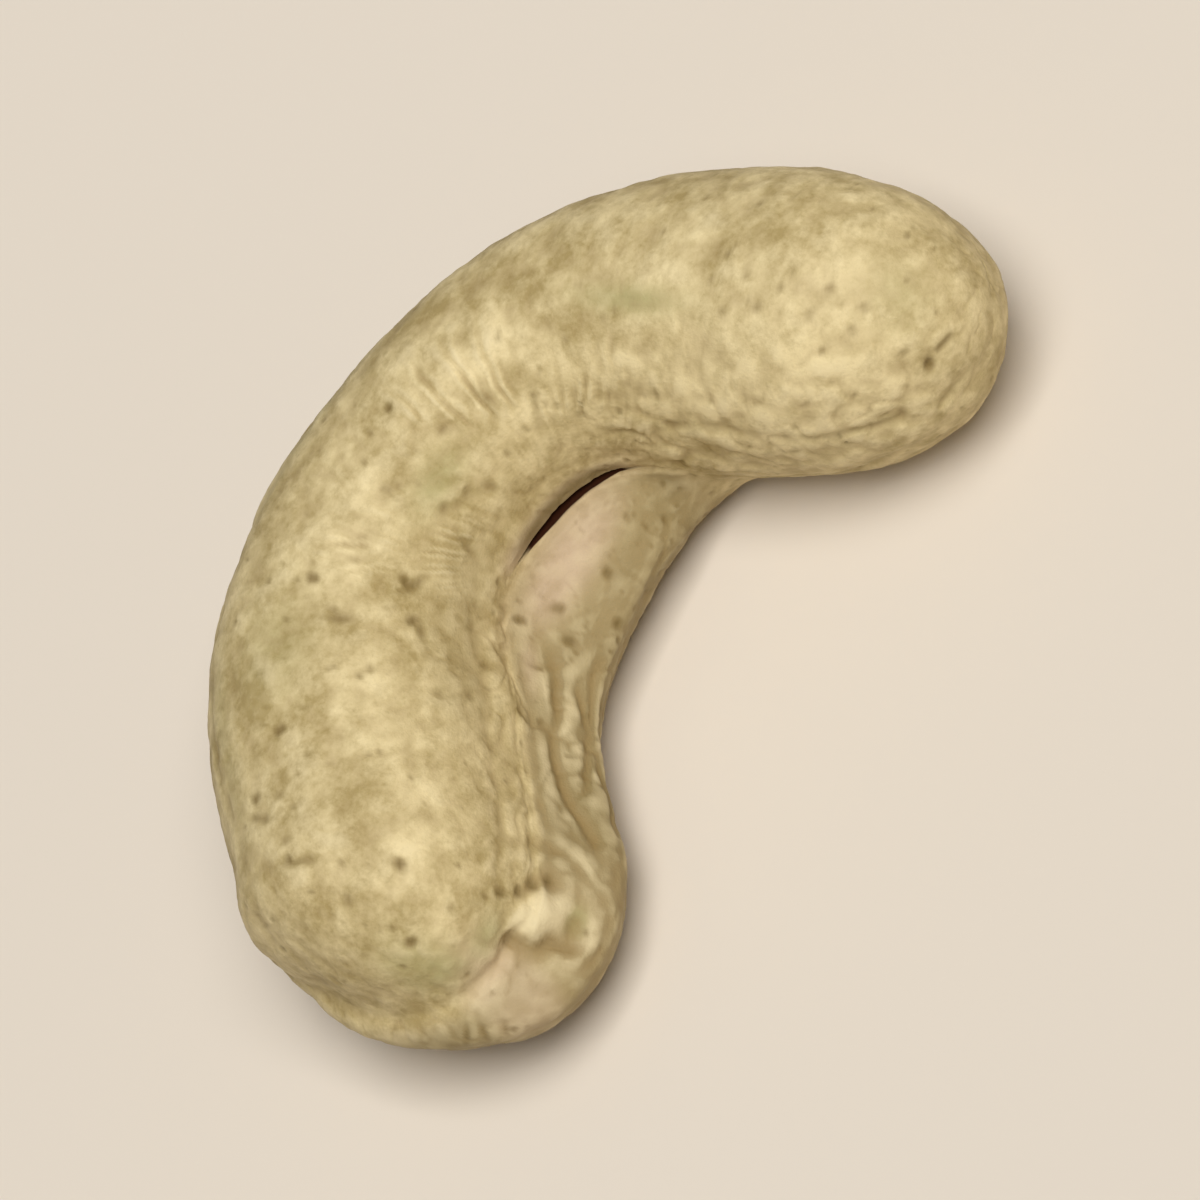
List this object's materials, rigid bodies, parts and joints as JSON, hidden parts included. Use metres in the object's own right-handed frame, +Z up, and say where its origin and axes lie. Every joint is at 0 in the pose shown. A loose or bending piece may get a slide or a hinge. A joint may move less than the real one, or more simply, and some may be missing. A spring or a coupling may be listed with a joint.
{
  "type": "cashew nut",
  "caption": "Shelled, peeled whole cashew kernel: a thick cream crescent with a seam around it, a slit at the inner bend and a germ tip, lying on its flatter cheek.",
  "frame": {"origin": "middle of the kernel's outline, on the plane that it rests on", "axes": "+X towards the blunt end, along the crescent's longest extent; -Y towards the open side of the crescent; +Z up, through the kernel's thickness"},
  "size_m": [0.0256, 0.0144, 0.009],
  "materials": {
    "kernel": "raw peeled nut kernel: pale straw cream, matt with a faint waxy sheen, finely pitted and wrinkled, pinker in the hollow, with small olive spots"
  },
  "bodies": {
    "root": {"cashew_kernel": "kernel"}
  },
  "joints": []
}
